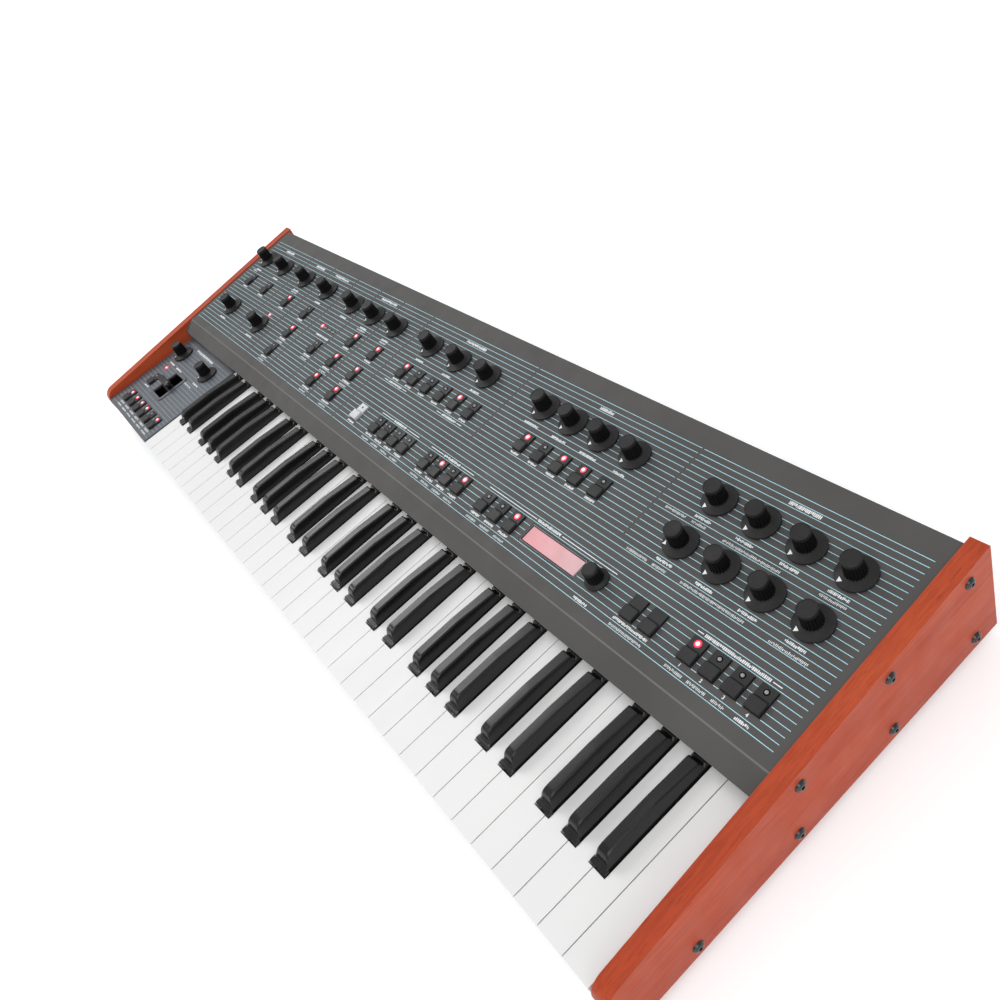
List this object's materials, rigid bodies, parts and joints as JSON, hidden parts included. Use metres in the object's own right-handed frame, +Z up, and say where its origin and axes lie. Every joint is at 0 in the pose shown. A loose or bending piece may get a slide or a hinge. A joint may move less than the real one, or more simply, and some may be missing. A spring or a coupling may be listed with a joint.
{
  "type": "synthesizer",
  "caption": "Keyboard synthesizer with wooden cheeks, a striped sloping control panel of knobs and buttons, a lever block and a sprung keybed.",
  "frame": {"origin": "on the ground, at the middle of the width and depth", "axes": "+X along the keys to the high notes, +Y to the back, +Z up"},
  "size_m": [1.0428, 0.333, 0.1038],
  "materials": {
    "knob_plastic": "satin moulded plastic",
    "white_key": "polished",
    "black_key": "polished",
    "button_plastic": "fine texture",
    "black_screw": "black oxide",
    "wood": "stained red, satin lacquer",
    "rubber": "matt",
    "panel_paint": "fine powder coat with printed stripes",
    "block_paint": "fine powder coat with printed stripes",
    "case_paint": "fine powder coat",
    "display": "tinted glass",
    "led": "clear red lens",
    "circuit_board": "solder mask",
    "pot_metal": "plain",
    "keybed_steel": "zinc plated",
    "rod_steel": "ground",
    "socket_plastic": "moulded",
    "rocker_plastic": "moulded",
    "lever_plastic": "satin"
  },
  "bodies": {
    "base": {"bottom_case": "case_paint", "cheek_screws": "black_screw", "control_board": "circuit_board", "display_module": "display", "indicator_leds": "led", "key_pivot_rod": "rod_steel", "keybed_frame": "keybed_steel", "left_cheek": "wood", "main_board": "circuit_board", "performance_panel": "block_paint", "potentiometers": "pot_metal", "power_supply": "circuit_board", "rear_sockets": "socket_plastic", "right_cheek": "wood", "rubber_feet": "rubber", "top_panel": "panel_paint"},
    "knob_source_1": {"knob_source_1": "knob_plastic"},
    "knob_source_2": {"knob_source_2": "knob_plastic"},
    "knob_source_3": {"knob_source_3": "knob_plastic"},
    "knob_source_4": {"knob_source_4": "knob_plastic"},
    "knob_source_5": {"knob_source_5": "knob_plastic"},
    "knob_source_6": {"knob_source_6": "knob_plastic"},
    "knob_source_7": {"knob_source_7": "knob_plastic"},
    "knob_source_8": {"knob_source_8": "knob_plastic"},
    "knob_source_9": {"knob_source_9": "knob_plastic"},
    "knob_source_10": {"knob_source_10": "knob_plastic"},
    "knob_filter_frequency": {"knob_filter_frequency": "knob_plastic"},
    "knob_filter_resonance": {"knob_filter_resonance": "knob_plastic"},
    "knob_filter_modulation": {"knob_filter_modulation": "knob_plastic"},
    "knob_filter_track": {"knob_filter_track": "knob_plastic"},
    "knob_filter_attack": {"knob_filter_attack": "knob_plastic"},
    "knob_filter_decay": {"knob_filter_decay": "knob_plastic"},
    "knob_filter_sustain": {"knob_filter_sustain": "knob_plastic"},
    "knob_filter_release": {"knob_filter_release": "knob_plastic"},
    "knob_loudness_attack": {"knob_loudness_attack": "knob_plastic"},
    "knob_loudness_decay": {"knob_loudness_decay": "knob_plastic"},
    "knob_loudness_sustain": {"knob_loudness_sustain": "knob_plastic"},
    "knob_loudness_release": {"knob_loudness_release": "knob_plastic"},
    "knob_tune_1": {"knob_tune_1": "knob_plastic"},
    "knob_tune_2": {"knob_tune_2": "knob_plastic"},
    "encoder_knob": {"encoder_knob": "knob_plastic"},
    "knob_block_left": {"knob_block_left": "knob_plastic"},
    "knob_block_right": {"knob_block_right": "knob_plastic"},
    "white_keys_1": {"white_keys_1": "white_key"},
    "black_keys_1": {"black_keys_1": "black_key"},
    "white_keys_2": {"white_keys_2": "white_key"},
    "black_keys_2": {"black_keys_2": "black_key"},
    "white_keys_3": {"white_keys_3": "white_key"},
    "black_keys_3": {"black_keys_3": "black_key"},
    "white_keys_4": {"white_keys_4": "white_key"},
    "black_keys_4": {"black_keys_4": "black_key"},
    "white_keys_5": {"white_keys_5": "white_key"},
    "black_keys_5": {"black_keys_5": "black_key"},
    "buttons_back_row": {"buttons_back_row": "button_plastic"},
    "buttons_front_rows": {"buttons_front_rows": "button_plastic"},
    "value_buttons": {"value_buttons": "button_plastic"},
    "preset_buttons": {"preset_buttons": "button_plastic"},
    "performance_buttons": {"performance_buttons": "button_plastic"},
    "bender_lever": {"bender_lever": "lever_plastic"},
    "power_rocker": {"power_rocker": "rocker_plastic"}
  },
  "joints": [
    {"name": "encoder_turn", "type": "hinge", "parent": "base", "child": "encoder_knob", "pos_m": [0.3213, 0.01616, 0.07486], "axis": [0, -0.0958, 0.9954], "continuous": true},
    {"name": "white_keys_1_press", "type": "hinge", "parent": "base", "child": "white_keys_1", "pos_m": [-0.26075, 0.0395, 0.0455], "axis": [1, 0, 0], "range_deg": [0, 2.75], "stiffness_Nm_per_rad": 5, "springref_deg": -13.75},
    {"name": "black_keys_1_press", "type": "hinge", "parent": "base", "child": "black_keys_1", "pos_m": [-0.26075, 0.0395, 0.0455], "axis": [1, 0, 0], "range_deg": [0, 3.2], "stiffness_Nm_per_rad": 4, "springref_deg": -12.61},
    {"name": "white_keys_2_press", "type": "hinge", "parent": "base", "child": "white_keys_2", "pos_m": [-0.09625, 0.0395, 0.0455], "axis": [1, 0, 0], "range_deg": [0, 2.75], "stiffness_Nm_per_rad": 5, "springref_deg": -13.75},
    {"name": "black_keys_2_press", "type": "hinge", "parent": "base", "child": "black_keys_2", "pos_m": [-0.09625, 0.0395, 0.0455], "axis": [1, 0, 0], "range_deg": [0, 3.2], "stiffness_Nm_per_rad": 4, "springref_deg": -12.61},
    {"name": "white_keys_3_press", "type": "hinge", "parent": "base", "child": "white_keys_3", "pos_m": [0.06825, 0.0395, 0.0455], "axis": [1, 0, 0], "range_deg": [0, 2.75], "stiffness_Nm_per_rad": 5, "springref_deg": -13.75},
    {"name": "black_keys_3_press", "type": "hinge", "parent": "base", "child": "black_keys_3", "pos_m": [0.06825, 0.0395, 0.0455], "axis": [1, 0, 0], "range_deg": [0, 3.2], "stiffness_Nm_per_rad": 4, "springref_deg": -12.61},
    {"name": "white_keys_4_press", "type": "hinge", "parent": "base", "child": "white_keys_4", "pos_m": [0.23275, 0.0395, 0.0455], "axis": [1, 0, 0], "range_deg": [0, 2.75], "stiffness_Nm_per_rad": 5, "springref_deg": -13.75},
    {"name": "black_keys_4_press", "type": "hinge", "parent": "base", "child": "black_keys_4", "pos_m": [0.23275, 0.0395, 0.0455], "axis": [1, 0, 0], "range_deg": [0, 3.2], "stiffness_Nm_per_rad": 4, "springref_deg": -12.61},
    {"name": "white_keys_5_press", "type": "hinge", "parent": "base", "child": "white_keys_5", "pos_m": [0.39725, 0.0395, 0.0455], "axis": [1, 0, 0], "range_deg": [0, 2.75], "stiffness_Nm_per_rad": 5, "springref_deg": -13.75},
    {"name": "black_keys_5_press", "type": "hinge", "parent": "base", "child": "black_keys_5", "pos_m": [0.39725, 0.0395, 0.0455], "axis": [1, 0, 0], "range_deg": [0, 3.2], "stiffness_Nm_per_rad": 4, "springref_deg": -12.61},
    {"name": "buttons_back_row_press", "type": "slide", "parent": "base", "child": "buttons_back_row", "axis": [0, 0.0958, -0.9954], "range_m": [0, 0.0012], "stiffness_N_per_m": 1500, "springref_m": -0.001},
    {"name": "buttons_front_rows_press", "type": "slide", "parent": "base", "child": "buttons_front_rows", "axis": [0, 0.0958, -0.9954], "range_m": [0, 0.0012], "stiffness_N_per_m": 1500, "springref_m": -0.001},
    {"name": "value_buttons_press", "type": "slide", "parent": "base", "child": "value_buttons", "axis": [0, 0.0958, -0.9954], "range_m": [0, 0.0012], "stiffness_N_per_m": 1500, "springref_m": -0.001},
    {"name": "preset_buttons_press", "type": "slide", "parent": "base", "child": "preset_buttons", "axis": [0, 0.0958, -0.9954], "range_m": [0, 0.0012], "stiffness_N_per_m": 1500, "springref_m": -0.001},
    {"name": "performance_buttons_press", "type": "slide", "parent": "base", "child": "performance_buttons", "axis": [0, 0, -1], "range_m": [0, 0.0012], "stiffness_N_per_m": 1500, "springref_m": -0.001},
    {"name": "bender_push", "type": "hinge", "parent": "base", "child": "bender_lever", "pos_m": [-0.4265, -0.0985, 0.027], "axis": [1, 0, 0], "range_deg": [-18, 18], "stiffness_Nm_per_rad": 0.8},
    {"name": "power_rocker_tip", "type": "hinge", "parent": "base", "child": "power_rocker", "pos_m": [0.395, 0.1565, 0.038], "axis": [1, 0, 0], "range_deg": [-8, 8]},
    {"name": "knob_source_1_turn", "type": "hinge", "parent": "base", "child": "knob_source_1", "pos_m": [-0.477, 0.11192, 0.08408], "axis": [0, -0.0958, 0.9954], "range_deg": [-300, 0]},
    {"name": "knob_source_2_turn", "type": "hinge", "parent": "base", "child": "knob_source_2", "pos_m": [-0.421, 0.11192, 0.08408], "axis": [0, -0.0958, 0.9954], "range_deg": [-300, 0]},
    {"name": "knob_source_3_turn", "type": "hinge", "parent": "base", "child": "knob_source_3", "pos_m": [-0.3535, 0.11192, 0.08408], "axis": [0, -0.0958, 0.9954], "range_deg": [-300, 0]},
    {"name": "knob_source_4_turn", "type": "hinge", "parent": "base", "child": "knob_source_4", "pos_m": [-0.289, 0.11192, 0.08408], "axis": [0, -0.0958, 0.9954], "range_deg": [-300, 0]},
    {"name": "knob_source_5_turn", "type": "hinge", "parent": "base", "child": "knob_source_5", "pos_m": [-0.2185, 0.11192, 0.08408], "axis": [0, -0.0958, 0.9954], "range_deg": [-300, 0]},
    {"name": "knob_source_6_turn", "type": "hinge", "parent": "base", "child": "knob_source_6", "pos_m": [-0.1675, 0.11192, 0.08408], "axis": [0, -0.0958, 0.9954], "range_deg": [-300, 0]},
    {"name": "knob_source_7_turn", "type": "hinge", "parent": "base", "child": "knob_source_7", "pos_m": [-0.1165, 0.11192, 0.08408], "axis": [0, -0.0958, 0.9954], "range_deg": [-300, 0]},
    {"name": "knob_source_8_turn", "type": "hinge", "parent": "base", "child": "knob_source_8", "pos_m": [-0.042, 0.11192, 0.08408], "axis": [0, -0.0958, 0.9954], "range_deg": [-300, 0]},
    {"name": "knob_source_9_turn", "type": "hinge", "parent": "base", "child": "knob_source_9", "pos_m": [0.0095, 0.11192, 0.08408], "axis": [0, -0.0958, 0.9954], "range_deg": [-300, 0]},
    {"name": "knob_source_10_turn", "type": "hinge", "parent": "base", "child": "knob_source_10", "pos_m": [0.0605, 0.11192, 0.08408], "axis": [0, -0.0958, 0.9954], "range_deg": [-300, 0]},
    {"name": "knob_filter_frequency_turn", "type": "hinge", "parent": "base", "child": "knob_filter_frequency", "pos_m": [0.1505, 0.11192, 0.08408], "axis": [0, -0.0958, 0.9954], "range_deg": [-300, 0]},
    {"name": "knob_filter_resonance_turn", "type": "hinge", "parent": "base", "child": "knob_filter_resonance", "pos_m": [0.1887, 0.11192, 0.08408], "axis": [0, -0.0958, 0.9954], "range_deg": [-300, 0]},
    {"name": "knob_filter_modulation_turn", "type": "hinge", "parent": "base", "child": "knob_filter_modulation", "pos_m": [0.2269, 0.11192, 0.08408], "axis": [0, -0.0958, 0.9954], "range_deg": [-300, 0]},
    {"name": "knob_filter_track_turn", "type": "hinge", "parent": "base", "child": "knob_filter_track", "pos_m": [0.2651, 0.11192, 0.08408], "axis": [0, -0.0958, 0.9954], "range_deg": [-300, 0]},
    {"name": "knob_filter_attack_turn", "type": "hinge", "parent": "base", "child": "knob_filter_attack", "pos_m": [0.3535, 0.11242, 0.08412], "axis": [0, -0.0958, 0.9954], "range_deg": [-300, 0]},
    {"name": "knob_filter_decay_turn", "type": "hinge", "parent": "base", "child": "knob_filter_decay", "pos_m": [0.3915, 0.11242, 0.08412], "axis": [0, -0.0958, 0.9954], "range_deg": [-300, 0]},
    {"name": "knob_filter_sustain_turn", "type": "hinge", "parent": "base", "child": "knob_filter_sustain", "pos_m": [0.4295, 0.11242, 0.08412], "axis": [0, -0.0958, 0.9954], "range_deg": [-300, 0]},
    {"name": "knob_filter_release_turn", "type": "hinge", "parent": "base", "child": "knob_filter_release", "pos_m": [0.4675, 0.11242, 0.08412], "axis": [0, -0.0958, 0.9954], "range_deg": [-300, 0]},
    {"name": "knob_loudness_attack_turn", "type": "hinge", "parent": "base", "child": "knob_loudness_attack", "pos_m": [0.3535, 0.07131, 0.08017], "axis": [0, -0.0958, 0.9954], "range_deg": [-300, 0]},
    {"name": "knob_loudness_decay_turn", "type": "hinge", "parent": "base", "child": "knob_loudness_decay", "pos_m": [0.3915, 0.07131, 0.08017], "axis": [0, -0.0958, 0.9954], "range_deg": [-300, 0]},
    {"name": "knob_loudness_sustain_turn", "type": "hinge", "parent": "base", "child": "knob_loudness_sustain", "pos_m": [0.4295, 0.07131, 0.08017], "axis": [0, -0.0958, 0.9954], "range_deg": [-300, 0]},
    {"name": "knob_loudness_release_turn", "type": "hinge", "parent": "base", "child": "knob_loudness_release", "pos_m": [0.4675, 0.07131, 0.08017], "axis": [0, -0.0958, 0.9954], "range_deg": [-300, 0]},
    {"name": "knob_tune_1_turn", "type": "hinge", "parent": "base", "child": "knob_tune_1", "pos_m": [-0.443, 0.0303, 0.07622], "axis": [0, -0.0958, 0.9954], "range_deg": [-300, 0]},
    {"name": "knob_tune_2_turn", "type": "hinge", "parent": "base", "child": "knob_tune_2", "pos_m": [-0.35, 0.0303, 0.07622], "axis": [0, -0.0958, 0.9954], "range_deg": [-300, 0]},
    {"name": "knob_block_left_turn", "type": "hinge", "parent": "base", "child": "knob_block_left", "pos_m": [-0.4755, -0.0555, 0.051], "axis": [0, 0, 1], "range_deg": [-300, 0]},
    {"name": "knob_block_right_turn", "type": "hinge", "parent": "base", "child": "knob_block_right", "pos_m": [-0.382, -0.0555, 0.051], "axis": [0, 0, 1], "range_deg": [-300, 0]}
  ]
}
